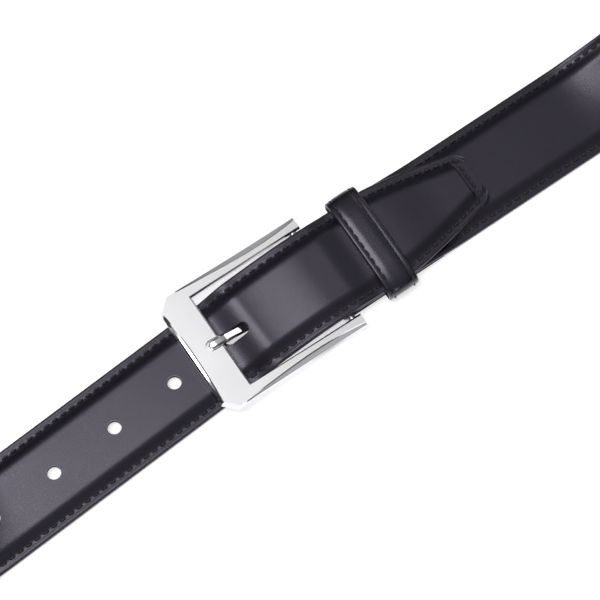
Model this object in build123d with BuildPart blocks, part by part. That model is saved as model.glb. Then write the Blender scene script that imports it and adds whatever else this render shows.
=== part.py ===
from build123d import *
from math import cos
from math import pi
from math import sin
from math import sqrt
from math import tan
import os

# A gentleman's dress belt, fastened. Millimetres, +Z up.
# The pieces are laid out from the heel bar of the buckle, along Y at x = 0. The visible
# front of the belt lies flat and straight along X, then each side rolls up on edge and the
# back of the belt stands on its lower edge, so the belt closes into a loop. Each finished
# piece is then moved so that the origin is the middle of the loop, on the surface.

os.makedirs("parts", exist_ok=True)

# ---------------------------------------------------------------- driving dimensions
STRAP_HALF = 17.5
LINING = 1.0
GLUE = 0.05
FACE = 1.1
CORE = 1.35
CORE_FOOT = 13.9
CORE_TOP = 12.2
THREAD_AT = 14.9
THREAD_W = 0.7
THREAD_H = 0.42
GROOVE = 0.3
BOBBIN_Z = 0.02
BOBBIN_H = 0.24

BELT_CENTRE = -14.0
LEAN = 3.5
LEAN_START = -44.0
LEAN_END = 0.0
FRONT_HALF = 120.0
ROLL_LENGTH = 110.0
TURN_R = 77.4
TURN_STEPS = 16
ROLL_STEPS = 14

BAR_R = 1.5
BAR_REACH = 22.2
BAR_Z = 2.7
WRAP_IN = 1.6
WRAP_OUT = 2.7
RETURN_END = 40.0
FOLD_FLAT_END = 30.0
FOLD_RAMP_END = 50.0
FOLD_LINING_Z = 2.1
FOLD_FACE_Z = 3.15
FOLD_FACE_TOP = 4.15
SLOT_HALF = 2.7
SLOT_END = 13.0
LINING_START = 8.0
FOLD_ROW_X = 31.5
FOLD_ROW_HALF = 12.0

TAIL_TAPER = 28.0
TAIL_TIP_START = 60.0
TAIL_END = 65.0
TAIL_TIP_HALF = 11.4
TAIL_CORNER = 3.6
TURN_X = TAIL_END - (STRAP_HALF - THREAD_AT)

HOLE_R = 2.5
HOLE_PITCH = 26.0
HOLE_USED = -38.0
FREE_HOLES = 4

FRAME_TILT = 4.2
FRAME_THICK = 4.2
FRAME_HALF = 23.75
OPEN_HALF = 18.6
FRONT_OUT = -55.4
FRONT_IN = -42.9
ARM_END = 3.0
CORNER_CUT = 4.5

PRONG_HALF = 1.7
PRONG_EYE_R = 2.6
PRONG_EYE_BORE = 1.56
PRONG_EYE_HALF = 2.0
PRONG_CLEAR = 0.3

KEEPER_X0 = 14.8
KEEPER_X1 = 26.8
KEEPER_OUT = 20.65

# the heel bar's place when the origin is the middle of the loop
HEEL_BAR_X = 19.3
HEEL_BAR_Y = -68.2
TO_FRAME = Location((HEEL_BAR_X, HEEL_BAR_Y, 0))


# ---------------------------------------------------------------- the belt's path
def smooth(t):
    """Ease from 0 to 1 with no corner at either end."""
    t = min(1.0, max(0.0, t))
    return t * t * (3 - 2 * t)


def mix(a, b, t):
    return a + (b - a) * t


def half_loop(x, y, heading, turn_r):
    """Stations of half the loop, from the end of the flat front to the start of the back.

    Each station is (x, y, heading, roll). The bend grows with the roll, because a strap
    bends easily only across its thickness.
    """
    stations = [(x, y, heading, 0.0)]
    fine = 40
    step = ROLL_LENGTH / (ROLL_STEPS * fine)
    for i in range(ROLL_STEPS * fine):
        middle = (i + 0.5) / (ROLL_STEPS * fine)
        bend = smooth(middle) / turn_r
        heading += bend * step / 2
        x += cos(heading) * step
        y += sin(heading) * step
        heading += bend * step / 2
        if (i + 1) % fine == 0:
            roll = pi / 2 * smooth((i + 1) / (ROLL_STEPS * fine))
            stations.append((x, y, heading, roll))
    first = heading
    x0 = x - turn_r * sin(first)
    y0 = y + turn_r * cos(first)
    for i in range(1, TURN_STEPS + 1):
        heading = mix(first, pi, i / TURN_STEPS)
        x = x0 + turn_r * sin(heading)
        y = y0 - turn_r * cos(heading)
        stations.append((x, y, heading, pi / 2))
    return stations


def radius_to_reach(x, y, heading, back_y):
    """Turn radius that brings a half loop out on the line of the belt's back."""
    low = TURN_R / 2
    high = TURN_R * 2
    for _ in range(40):
        middle = (low + high) / 2
        if half_loop(x, y, heading, middle)[-1][1] < back_y:
            low = middle
        else:
            high = middle
    return (low + high) / 2


def mirrored_back(stations):
    """Stations walked the other way and mirrored to the left."""
    turned = []
    for x, y, heading, roll in reversed(stations):
        turned.append((-x, y, 2 * pi - heading, roll))
    return turned


def tail_plan(x):
    """Sideways place and heading of the tail: it leaves the buckle at a slight angle."""
    lean = LEAN * pi / 180
    t = min(1.0, max(0.0, (x - LEAN_START) / (LEAN_END - LEAN_START)))
    eased = 0.5 - t + t ** 3 - t ** 4 / 2
    y = -tan(lean) * ((LEAN_END - LEAN_START) * eased + max(0.0, LEAN_START - x))
    return y, lean * (1 - smooth(t))


def tail_height(x):
    """Height of the tail's underside above the surface."""
    if x < -29.0:
        return 3.9 * smooth((x + 43.5) / 14.5)
    if x < -3.0:
        return mix(3.9, 5.5, smooth((x + 29.0) / 26.0))
    if x < 4.0:
        return 5.5
    if x < 13.0:
        return mix(5.5, 4.4, smooth((x - 4.0) / 9.0))
    return mix(4.4, 3.75, smooth((x - 30.0) / 20.0))


def tail_half(x):
    """Half the tail's width, down to the rounded end."""
    if x < TAIL_TAPER:
        return STRAP_HALF
    if x < TAIL_TIP_START:
        along = (x - TAIL_TAPER) / (TAIL_TIP_START - TAIL_TAPER)
        return mix(STRAP_HALF, TAIL_TIP_HALF, along ** 1.25)
    round_off = (x - TAIL_TIP_START) / (TAIL_END - TAIL_TIP_START)
    return TAIL_TIP_HALF - TAIL_CORNER * (1 - sqrt(max(0.0, 1 - round_off ** 2)))


def section_plane(x, y, z, heading, roll):
    """Plane across the strap: its x runs across the width, its y up through the leather."""
    left = Vector(-sin(heading), cos(heading), 0)
    right = Vector(sin(heading), -cos(heading), 0)
    across = left * cos(roll) + Vector(0, 0, 1) * sin(roll)
    up = Vector(0, 0, 1) * cos(roll) + right * sin(roll)
    return Plane(origin=(x, y, z), x_dir=across, z_dir=across.cross(up))


# A station of the whole strap is (plane, half width, bulge of the core 0 to 1).
RIGHT = half_loop(BELT_CENTRE + FRONT_HALF, 0, 0, TURN_R)
LEFT_X = BELT_CENTRE - FRONT_HALF
LEFT_Y, LEFT_LEAN = tail_plan(LEFT_X)
LEFT_R = radius_to_reach(-LEFT_X, LEFT_Y, -LEFT_LEAN, RIGHT[-1][1])
LEFT = mirrored_back(half_loop(-LEFT_X, LEFT_Y, -LEFT_LEAN, LEFT_R))

MAIN = []
for i in range(5):
    here = mix(FOLD_FLAT_END, FOLD_RAMP_END, i / 4)
    drop = smooth(i / 4)
    MAIN.append((section_plane(here, 0, mix(FOLD_LINING_Z, 0, drop), 0, 0), STRAP_HALF, drop))
for x, y, heading, roll in RIGHT:
    MAIN.append((section_plane(x, y, STRAP_HALF * sin(roll), heading, roll), STRAP_HALF, 1.0))
for x, y, heading, roll in LEFT:
    MAIN.append((section_plane(x, y, STRAP_HALF * sin(roll), heading, roll), STRAP_HALF, 1.0))

TAIL_X = [LEAN_START, -43.5]
for i in range(1, 9):
    TAIL_X.append(-43.5 + 14.5 * i / 8)
for i in range(1, 7):
    TAIL_X.append(-29.0 + 26.0 * i / 6)
TAIL_X.append(4.0)
for i in range(1, 5):
    TAIL_X.append(4.0 + 9.0 * i / 4)
for i in range(1, 5):
    TAIL_X.append(13.0 + 15.0 * i / 4)
for i in range(1, 9):
    TAIL_X.append(mix(TAIL_TAPER, TAIL_TIP_START, i / 8))

TAIL = []
for x in TAIL_X:
    y, heading = tail_plan(x)
    TAIL.append((section_plane(x, y, tail_height(x), heading, 0), tail_half(x), 1.0))

TIP_X = [60.8, 61.6, TURN_X, 63.4, 64.1, 64.5, 64.8]
TIP = []
for x in TIP_X:
    fade = 1.0 - smooth((x - TAIL_TIP_START + 2.5) / 4.5)
    TIP.append((section_plane(x, 0, tail_height(x), 0, 0), tail_half(x), fade))


# ---------------------------------------------------------------- cross-sections
def mirrored(points):
    """A closed outline from its right half, top to bottom, mirrored to the left."""
    left = []
    for u, v in reversed(points):
        left.append((-u, v))
    return points + left


def lining_outline(half, bulge):
    edge = STRAP_HALF - THREAD_AT
    at = half - edge
    return mirrored([
        (half, LINING),
        (half, 0),
        (at + THREAD_W / 2 + GLUE, 0),
        (at + THREAD_W / 2 + GLUE, GROOVE),
        (at - THREAD_W / 2 - GLUE, GROOVE),
        (at - THREAD_W / 2 - GLUE, 0),
    ])


def core_outline(half, bulge):
    inset = STRAP_HALF - half
    base = LINING + GLUE
    return mirrored([
        (CORE_TOP - inset, base + CORE),
        (CORE_FOOT - inset, base),
    ])


def face_outline(half, bulge):
    inset = STRAP_HALF - half
    base = LINING + GLUE
    at = THREAD_AT - inset
    rise = max(0.03, bulge) * (CORE + GLUE)
    top = base + FACE - 0.1
    return [
        (-half, base),
        (-(CORE_FOOT - inset) - 0.07, base),
        (-(CORE_TOP - inset) - 0.05, base + rise),
        (CORE_TOP - inset + 0.05, base + rise),
        (CORE_FOOT - inset + 0.07, base),
        (half, base),
        (half, top - 0.1),
        (at + THREAD_W / 2 + GLUE, top),
        (at + THREAD_W / 2 + GLUE, top - GROOVE),
        (at - THREAD_W / 2 - GLUE, top - GROOVE),
        (at - THREAD_W / 2 - GLUE, top),
        (CORE_FOOT - inset + 0.3, top),
        (CORE_TOP - inset - 0.6, top + rise),
        (-(CORE_TOP - inset) + 0.6, top + rise),
        (-(CORE_FOOT - inset) - 0.3, top),
        (-at + THREAD_W / 2 + GLUE, top),
        (-at + THREAD_W / 2 + GLUE, top - GROOVE),
        (-at - THREAD_W / 2 - GLUE, top - GROOVE),
        (-at - THREAD_W / 2 - GLUE, top),
        (-half, top - 0.1),
    ]


def ribbon(stations, outline):
    """Loft one layer of the strap through its stations."""
    with BuildPart() as layer:
        for plane, half, bulge in stations:
            with BuildSketch(plane):
                with BuildLine():
                    Polyline(*outline(half, bulge), close=True)
                make_face()
        loft(ruled=True)
    return layer.part


STRAP_STATIONS = MAIN + TAIL + TIP

# ---------------------------------------------------------------- prong profile
PRONG_TOP = [
    (0.0, 3.95),
    (-20.0, 3.6),
    (-28.0, 3.5),
    (-33.5, 4.2),
    (-38.0, 6.6),
    (-41.8, 8.35),
    (-46.8, 8.7),
]
PRONG_BOTTOM = [
    (-47.3, 7.8),
    (-46.3, 6.7),
    (-42.3, 6.4),
    (-39.6, 4.4),
    (-35.5, 2.0),
    (-29.0, 1.05),
    (-20.0, 1.1),
    (0.0, 1.45),
]


def prong_shank(grow):
    """The prong without its eye, grown all round by a clearance."""
    with BuildPart() as shank:
        with BuildSketch(Plane.XZ.offset(-PRONG_HALF - grow)):
            with BuildLine():
                Polyline(*(PRONG_TOP + PRONG_BOTTOM), close=True)
            make_face()
            if grow > 0:
                offset(amount=grow, kind=Kind.INTERSECTION)
        extrude(amount=2 * (PRONG_HALF + grow))
    return shank.part


# ---------------------------------------------------------------- shared cutters
prong_room = prong_shank(PRONG_CLEAR)

with BuildPart() as hole_cutter:
    # round holes punched through the tail
    with BuildSketch(Plane.XY.offset(-1)):
        for i in range(FREE_HOLES + 1):
            hole_x = HOLE_USED - HOLE_PITCH * i
            with Locations((hole_x, tail_plan(hole_x)[0])):
                Circle(HOLE_R)
    extrude(amount=8)
    # where the prong comes up, the leather gives way round its sides
    add(prong_room)

with BuildPart() as fold_cutter:
    # needle row through every layer of the fold
    with Locations((FOLD_ROW_X, 0, 2.2)):
        Box(THREAD_W + 2 * GLUE, 2 * FOLD_ROW_HALF + 2 * GLUE, 8)


TIP_Z = tail_height(TAIL_END)
FACE_ROW_Z = LINING + GLUE + FACE - 0.1 - GROOVE + GLUE
TURN_HALF = tail_half(TURN_X) - (STRAP_HALF - THREAD_AT) + THREAD_W / 2 + 2 * GLUE


def tip_groove(low, high):
    """Room for the row that crosses the tip."""
    with BuildPart() as room:
        with Locations((TURN_X - THREAD_W / 2, 0, TIP_Z + (low + high) / 2)):
            Box(THREAD_W + 2 * GLUE, 2 * TURN_HALF, high - low)
    return room.part


face_tip_groove = tip_groove(FACE_ROW_Z - GLUE, 5)
lining_tip_groove = tip_groove(-0.5, GROOVE)


# ---------------------------------------------------------------- strap: face leather
# One piece of leather: the short return under the main run, the wrap round the heel
# bar, the main run, the whole loop, the tail and its tip.
face_long = ribbon(STRAP_STATIONS, face_outline)

with BuildPart() as strap_face:
    with BuildSketch(Plane.XZ):
        with BuildLine():
            Polyline(
                (RETURN_END, 0),
                (0, 0),
                (0, WRAP_OUT - WRAP_IN),
                (RETURN_END, 0.7),
                close=True,
            )
        make_face()
        with BuildLine():
            Polyline(
                (0, BAR_Z + WRAP_OUT),
                (3, BAR_Z + WRAP_OUT - 0.05),
                (11, FOLD_FACE_TOP - 0.1),
                (FOLD_FLAT_END, FOLD_FACE_TOP - 0.1),
                (FOLD_FLAT_END, FOLD_FACE_Z),
                (10, FOLD_FACE_Z),
                (3, BAR_Z + WRAP_IN - 0.15),
                (0, BAR_Z + WRAP_IN),
                close=True,
            )
        make_face()
        with BuildLine():
            Polyline((0, 0), (0, BAR_Z + WRAP_OUT))
            ThreePointArc((0, BAR_Z + WRAP_OUT), (-WRAP_OUT, BAR_Z), (0, 0))
        make_face()
        with Locations((0, BAR_Z)):
            Circle(WRAP_IN, mode=Mode.SUBTRACT)
    extrude(amount=STRAP_HALF, both=True)
    # slot that lets the prong's eye reach the heel bar
    with BuildSketch(Plane.XY.offset(-1)):
        with Locations(((SLOT_END - 4) / 2, 0)):
            SlotOverall(SLOT_END + 4, 2 * SLOT_HALF)
    extrude(amount=BAR_Z + WRAP_OUT + 2, mode=Mode.SUBTRACT)
    add(face_long)
    add(hole_cutter.part, mode=Mode.SUBTRACT)
    add(fold_cutter.part, mode=Mode.SUBTRACT)
    add(face_tip_groove, mode=Mode.SUBTRACT)
strap_face.part.label = "strap_face"
export_step(strap_face.part.moved(TO_FRAME), "parts/strap_face.step")

# ---------------------------------------------------------------- strap: lining and core
lining_long = ribbon(STRAP_STATIONS, lining_outline)

with BuildPart() as strap_lining:
    add(lining_long)
    with BuildSketch(Plane.XZ):
        with BuildLine():
            Polyline(
                (LINING_START, FOLD_LINING_Z),
                (FOLD_FLAT_END, FOLD_LINING_Z),
                (FOLD_FLAT_END, FOLD_LINING_Z + LINING),
                (LINING_START, FOLD_LINING_Z + LINING),
                close=True,
            )
        make_face()
    extrude(amount=STRAP_HALF, both=True)
    with BuildSketch(Plane.XY.offset(1)):
        with Locations(((SLOT_END - 4) / 2, 0)):
            SlotOverall(SLOT_END + 4, 2 * SLOT_HALF)
    extrude(amount=3, mode=Mode.SUBTRACT)
    add(hole_cutter.part, mode=Mode.SUBTRACT)
    add(fold_cutter.part, mode=Mode.SUBTRACT)
    add(lining_tip_groove, mode=Mode.SUBTRACT)
strap_lining.part.label = "strap_lining"
export_step(strap_lining.part.moved(TO_FRAME), "parts/strap_lining.step")

core_long = ribbon(MAIN[4:] + TAIL, core_outline)

with BuildPart() as strap_core:
    add(core_long)
    add(hole_cutter.part, mode=Mode.SUBTRACT)
strap_core.part.label = "strap_core"
export_step(strap_core.part.moved(TO_FRAME), "parts/strap_core.step")


# ---------------------------------------------------------------- strap: stitching
def thread_corners(plane, inner, outer, base, height):
    """The four corners of a thread's section, on a plane across the strap."""
    flat = [(inner, base), (outer, base), (outer, base + height), (inner, base + height)]
    corners = []
    for u, v in flat:
        corners.append(plane.from_local_coords(Vector(u, v, 0)))
    return corners


def thread_row(side, base, height):
    """Sections of one row, from the fold to its mitred corner at the tip."""
    row = []
    for plane, half, bulge in MAIN + TAIL + TIP[:2]:
        at = half - STRAP_HALF + THREAD_AT
        inner = side * (at - THREAD_W / 2)
        outer = side * (at + THREAD_W / 2)
        row.append(thread_corners(plane, inner, outer, base, height))
    inner_x = TURN_X - THREAD_W
    inner_y = side * (tail_half(inner_x) - STRAP_HALF + THREAD_AT - THREAD_W / 2)
    outer_y = side * (tail_half(TURN_X) - STRAP_HALF + THREAD_AT + THREAD_W / 2)
    low = TIP_Z + base
    high = TIP_Z + base + height
    row.append([
        Vector(inner_x, inner_y, low),
        Vector(TURN_X, outer_y, low),
        Vector(TURN_X, outer_y, high),
        Vector(inner_x, inner_y, high),
    ])
    return row


def flat_face(a, b, c):
    return Face(Wire.make_polygon([a, b, c], close=True))


def stitching(base, height):
    """One thread: up one row, straight across the tip and back down the other row."""
    sections = thread_row(1, base, height) + thread_row(-1, base, height)[::-1]
    faces = []
    for a, b in zip(sections, sections[1:]):
        for i in range(4):
            j = (i + 1) % 4
            faces.append(flat_face(a[i], a[j], b[j]))
            faces.append(flat_face(a[i], b[j], b[i]))
    for end in (sections[0], sections[-1]):
        faces.append(flat_face(end[0], end[1], end[2]))
        faces.append(flat_face(end[0], end[2], end[3]))
    with BuildPart() as thread:
        add(Solid(Shell(faces)))
    return thread.part


strap_thread = stitching(FACE_ROW_Z, THREAD_H)
strap_thread.label = "strap_thread"
export_step(strap_thread.moved(TO_FRAME), "parts/strap_thread.step")

strap_bobbin_thread = stitching(BOBBIN_Z, BOBBIN_H)
strap_bobbin_thread.label = "strap_bobbin_thread"
export_step(strap_bobbin_thread.moved(TO_FRAME), "parts/strap_bobbin_thread.step")

with BuildPart() as fold_thread:
    # the needle row through the return, the lining and the main run of the fold
    with Locations((FOLD_ROW_X, 0, 2.15)):
        Box(THREAD_W, 2 * FOLD_ROW_HALF, 3.7)
fold_thread.part.label = "fold_thread"
export_step(fold_thread.part.moved(TO_FRAME), "parts/fold_thread.step")

# ---------------------------------------------------------------- buckle
tilt = FRAME_TILT * pi / 180
FRAME_PLANE = Plane(
    origin=(0, 0, BAR_Z),
    x_dir=(cos(tilt), 0, -sin(tilt)),
    z_dir=(sin(tilt), 0, cos(tilt)),
)

with BuildPart() as buckle_frame:
    # a flat three-sided frame: a wide front bar and two arms that end square at the heel
    with BuildSketch(FRAME_PLANE.offset(-FRAME_THICK / 2)):
        with BuildLine():
            Polyline(
                (ARM_END, -FRAME_HALF),
                (ARM_END, FRAME_HALF),
                (FRONT_OUT + CORNER_CUT, FRAME_HALF),
                (FRONT_OUT, FRAME_HALF - CORNER_CUT),
                (FRONT_OUT, CORNER_CUT - FRAME_HALF),
                (FRONT_OUT + CORNER_CUT, -FRAME_HALF),
                close=True,
            )
        make_face()
        with Locations(((FRONT_IN + ARM_END + 1) / 2, 0)):
            Rectangle(ARM_END + 1 - FRONT_IN, 2 * OPEN_HALF, mode=Mode.SUBTRACT)
    extrude(amount=FRAME_THICK)
    outer_edges = []
    for edge in buckle_frame.edges():
        middle = FRAME_PLANE.to_local_coords(edge.center())
        on_top = middle.Z > FRAME_THICK / 2 - 0.01
        outside = abs(middle.Y) > OPEN_HALF + 1.5 and middle.X < ARM_END - 0.01
        in_front = middle.X < FRONT_OUT + CORNER_CUT
        if on_top and (outside or in_front):
            outer_edges.append(edge)
    chamfer(outer_edges, length=1.7)
    # rest for the prong's tip in the inner edge of the front bar
    with BuildSketch(FRAME_PLANE.offset(0.25)):
        with Locations((FRONT_IN - 1.2, 0)):
            SlotOverall(9.0, 4.2)
    extrude(amount=FRAME_THICK, mode=Mode.SUBTRACT)
    # seats of the heel bar in the arms
    with Locations((0, 0, BAR_Z)):
        Cylinder(BAR_R, 2 * BAR_REACH, rotation=(90, 0, 0), mode=Mode.SUBTRACT)
buckle_frame.part.label = "buckle_frame"
export_step(buckle_frame.part.moved(TO_FRAME), "parts/buckle_frame.step")

with BuildPart() as heel_bar:
    with Locations((0, 0, BAR_Z)):
        Cylinder(BAR_R, 2 * BAR_REACH, rotation=(90, 0, 0))
heel_bar.part.label = "heel_bar"
export_step(heel_bar.part.moved(TO_FRAME), "parts/heel_bar.step")

with BuildPart() as prong:
    add(prong_shank(0))
    with Locations((0, 0, BAR_Z)):
        Cylinder(PRONG_EYE_R, 2 * PRONG_EYE_HALF, rotation=(90, 0, 0))
        Cylinder(PRONG_EYE_BORE, 8, rotation=(90, 0, 0), mode=Mode.SUBTRACT)
prong.part.label = "prong"
export_step(prong.part.moved(TO_FRAME), "parts/prong.step")


# ---------------------------------------------------------------- keeper
KEEPER_OUTSIDE = [
    (12.0, 10.1),
    (18.2, 8.8),
    (20.65, 6.9),
    (20.65, 2.2),
    (19.8, 1.15),
]
KEEPER_FACE_INSIDE = [
    (11.8, 8.95),
    (17.6, 7.7),
    (19.5, 6.25),
    (19.5, 2.0),
    (19.1, 1.6),
]
KEEPER_LINING_OUTSIDE = [
    (11.8, 8.9),
    (17.57, 7.65),
    (19.45, 6.22),
    (19.45, 2.03),
    (19.1, 1.65),
]
KEEPER_LINING_INSIDE = [
    (11.6, 8.15),
    (17.2, 7.0),
    (18.65, 5.95),
    (18.65, 2.3),
    (18.4, 2.05),
]


def band(outside, inside, x0, x1):
    """A closed band round the strap, between two half outlines."""
    with BuildPart() as loop:
        with BuildSketch(Plane.YZ.offset(x0)):
            with BuildLine():
                Polyline(*mirrored(outside), close=True)
            make_face()
            with BuildLine():
                Polyline(*mirrored(inside), close=True)
            make_face(mode=Mode.SUBTRACT)
        extrude(amount=x1 - x0)
    return loop.part


STAPLE_X0 = 17.2
STAPLE_X1 = 24.4
STAPLE_HALF = 0.4


def staple(grow):
    """A flat wire staple: the crown under the keeper and its two legs."""
    with BuildPart() as wire:
        with BuildSketch(Plane.XZ):
            with BuildLine():
                Polyline(
                    (STAPLE_X0 - grow, 1.22 - grow),
                    (STAPLE_X1 + grow, 1.22 - grow),
                    (STAPLE_X1 + grow, 1.95 + grow),
                    (STAPLE_X1 - 0.6 - grow, 1.95 + grow),
                    (STAPLE_X1 - 0.6 - grow, 1.5 + grow),
                    (STAPLE_X0 + 0.6 + grow, 1.5 + grow),
                    (STAPLE_X0 + 0.6 + grow, 1.95 + grow),
                    (STAPLE_X0 - grow, 1.95 + grow),
                    close=True,
                )
            make_face()
        extrude(amount=STAPLE_HALF + grow, both=True)
    return wire.part


staple_room = staple(0.05)

with BuildPart() as keeper_face:
    add(band(KEEPER_OUTSIDE, KEEPER_FACE_INSIDE, KEEPER_X0, KEEPER_X1))
    add(staple_room, mode=Mode.SUBTRACT)
keeper_face.part.label = "keeper_face"
export_step(keeper_face.part.moved(TO_FRAME), "parts/keeper_face.step")

with BuildPart() as keeper_lining:
    add(band(KEEPER_LINING_OUTSIDE, KEEPER_LINING_INSIDE, KEEPER_X0, KEEPER_X1))
    add(staple_room, mode=Mode.SUBTRACT)
keeper_lining.part.label = "keeper_lining"
export_step(keeper_lining.part.moved(TO_FRAME), "parts/keeper_lining.step")

keeper_staple = staple(0)
keeper_staple.label = "keeper_staple"
export_step(keeper_staple.moved(TO_FRAME), "parts/keeper_staple.step")


def keeper_row(x):
    """One stitched row over the top and sides of the keeper."""
    rise = 0.03
    height = 0.3
    low = []
    high = []
    for u, v in KEEPER_OUTSIDE[:3]:
        low.append((u + rise * 0.6, v + rise))
        high.append((u + height * 0.5, v + height))
    side = [(high[2][0] + 0.05, 3.0), (KEEPER_OUT + rise, 3.0)]
    outline = high + side + [(KEEPER_OUT + rise, 6.9)] + low[:2][::-1]
    left = []
    for u, v in outline:
        left.append((-u, v))
    with BuildPart() as row:
        with BuildSketch(Plane.YZ.offset(x - THREAD_W / 2)):
            with BuildLine():
                Polyline(*(outline + left[::-1]), close=True)
            make_face()
        extrude(amount=THREAD_W)
    return row.part


keeper_thread_front = keeper_row(KEEPER_X0 + 2.0)
keeper_thread_front.label = "keeper_thread_front"
export_step(keeper_thread_front.moved(TO_FRAME), "parts/keeper_thread_front.step")

keeper_thread_rear = keeper_row(KEEPER_X1 - 2.0)
keeper_thread_rear.label = "keeper_thread_rear"
export_step(keeper_thread_rear.moved(TO_FRAME), "parts/keeper_thread_rear.step")

for name, part in [
    ("strap_face", strap_face.part),
    ("strap_core", strap_core.part),
    ("strap_lining", strap_lining.part),
    ("strap_thread", strap_thread),
    ("strap_bobbin_thread", strap_bobbin_thread),
    ("fold_thread", fold_thread.part),
    ("buckle_frame", buckle_frame.part),
    ("heel_bar", heel_bar.part),
    ("prong", prong.part),
    ("keeper_face", keeper_face.part),
    ("keeper_lining", keeper_lining.part),
    ("keeper_staple", keeper_staple),
    ("keeper_thread_front", keeper_thread_front),
    ("keeper_thread_rear", keeper_thread_rear),
]:
    box = part.bounding_box()
    print(name, len(part.solids()), round(part.volume, 1), box.min, box.max)

length = 0.0
ROUND = RIGHT + LEFT
for before, after in zip(ROUND, ROUND[1:]):
    length += sqrt((after[0] - before[0]) ** 2 + (after[1] - before[1]) ** 2)
length += RIGHT[0][0] - LEFT_X
print("closed loop", round(length), "mm; heel bar to centre hole", round(length - 90), "mm")
print("left turn radius", round(LEFT_R, 2), "back line at", round(RIGHT[-1][1], 2))
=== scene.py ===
# %% [markdown]
# A gentleman's dress belt, fastened and lying with its buckle face up. The frame from the CAD
# work holds the real sizes and the joints. Here each piece gets its look: the raised, stitched
# strap, the satin and polished buckle, the prong and the keeper.

# %% Load the frame
import math
import bmesh
import bpy
from mathutils import Matrix, Vector


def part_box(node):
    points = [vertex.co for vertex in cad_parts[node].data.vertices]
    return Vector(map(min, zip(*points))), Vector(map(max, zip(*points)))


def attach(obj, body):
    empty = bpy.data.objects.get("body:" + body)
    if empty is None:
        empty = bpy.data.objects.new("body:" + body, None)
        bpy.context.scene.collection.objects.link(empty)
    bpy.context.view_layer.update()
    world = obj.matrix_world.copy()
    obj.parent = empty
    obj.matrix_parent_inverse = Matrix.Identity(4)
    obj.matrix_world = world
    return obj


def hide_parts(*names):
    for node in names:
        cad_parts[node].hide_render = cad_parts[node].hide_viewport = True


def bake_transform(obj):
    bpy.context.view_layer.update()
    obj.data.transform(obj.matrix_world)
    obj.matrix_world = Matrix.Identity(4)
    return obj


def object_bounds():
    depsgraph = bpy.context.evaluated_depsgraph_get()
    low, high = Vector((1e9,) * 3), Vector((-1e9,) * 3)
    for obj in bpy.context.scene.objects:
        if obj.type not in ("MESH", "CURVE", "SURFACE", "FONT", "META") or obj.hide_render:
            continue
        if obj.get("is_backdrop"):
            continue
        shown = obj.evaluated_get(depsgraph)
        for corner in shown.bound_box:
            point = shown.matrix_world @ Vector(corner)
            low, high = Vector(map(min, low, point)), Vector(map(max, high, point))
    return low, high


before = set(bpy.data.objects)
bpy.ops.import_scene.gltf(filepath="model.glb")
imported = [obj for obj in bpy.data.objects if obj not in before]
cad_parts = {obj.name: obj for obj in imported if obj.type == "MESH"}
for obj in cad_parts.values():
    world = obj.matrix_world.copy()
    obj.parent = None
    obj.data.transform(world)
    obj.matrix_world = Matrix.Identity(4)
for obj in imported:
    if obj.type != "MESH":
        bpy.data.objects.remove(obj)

cad_low, cad_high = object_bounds()
MM = 0.001
bar_low, bar_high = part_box("heel_bar")
HOME = Vector(((bar_low[0] + bar_high[0]) / 2, (bar_low[1] + bar_high[1]) / 2, 0))

# %% [markdown]
# Every size below is a millimetre size of the real belt, the same as in the CAD part, laid out
# from the heel bar; the last step moves the pieces to where the frame has that bar. The strap is
# three layers: lining below, a filler core that lifts the middle, and the face leather.

# %% Sizes of the belt
STRAP_HALF = 17.5
LINING = 1.0
FACE_BASE = 1.05
RISE = 1.4
ROW_AT = 14.9

BELT_CENTRE = -14.0
FRONT_HALF = 120.0
ROLL_LENGTH = 110.0
TURN_R = 77.4
LEAN = math.radians(3.5)
LEAN_START = -44.0
LEAN_END = 0.0

BAR_Z = 2.7
BAR_R = 1.5
WRAP_IN = 1.6
RETURN_END = 40.0

TAPER_START = 28.0
TIP_START = 60.0
TAIL_END = 65.0
TIP_HALF = 11.4
TIP_CORNER = 3.6

HOLE_R = 2.5
HOLES = [-64.0, -90.0, -116.0, -142.0]

FOLD_LIFT = 2.1
SETTLE_START = 30.0
SETTLE_END = 50.0
PRONG_SLOT_HALF = (4.9, 2.25)
HEEL_SLOT_X = 4.5
HEEL_SLOT_HALF = (8.5, 2.7)

# %% [markdown]
# The belt follows one line. The front lies flat, then each side rolls up on edge while it
# turns, and the back stands on its lower edge. A strap bends easily only across its
# thickness, so the turn grows together with the roll. Easing with a smooth step keeps the
# leather free of kinks.

# %% The belt's line
def smooth(t):
    t = min(1.0, max(0.0, t))
    return t * t * (3 - 2 * t)


def mix(a, b, t):
    return a + (b - a) * t


def half_loop(x, y, heading, turn_r, roll_steps=44, turn_steps=44):
    stations = [(x, y, heading, 0.0)]
    fine = 12
    step = ROLL_LENGTH / (roll_steps * fine)
    for i in range(roll_steps * fine):
        bend = smooth((i + 0.5) / (roll_steps * fine)) / turn_r
        heading += bend * step / 2
        x += math.cos(heading) * step
        y += math.sin(heading) * step
        heading += bend * step / 2
        if (i + 1) % fine == 0:
            roll = math.pi / 2 * smooth((i + 1) / (roll_steps * fine))
            stations.append((x, y, heading, roll))
    first = heading
    x0, y0 = x - turn_r * math.sin(first), y + turn_r * math.cos(first)
    for i in range(1, turn_steps + 1):
        heading = mix(first, math.pi, i / turn_steps)
        x, y = x0 + turn_r * math.sin(heading), y0 - turn_r * math.cos(heading)
        stations.append((x, y, heading, math.pi / 2))
    return stations


def radius_to_reach(x, y, heading, back_y):
    low, high = TURN_R / 2, TURN_R * 2
    for _ in range(30):
        middle = (low + high) / 2
        if half_loop(x, y, heading, middle, 20, 1)[-1][1] < back_y:
            low = middle
        else:
            high = middle
    return (low + high) / 2


# %% [markdown]
# The tail leans a little as it leaves the buckle. It climbs over the prong and the heel bar,
# settles on the strap and narrows to its tip.

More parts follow.
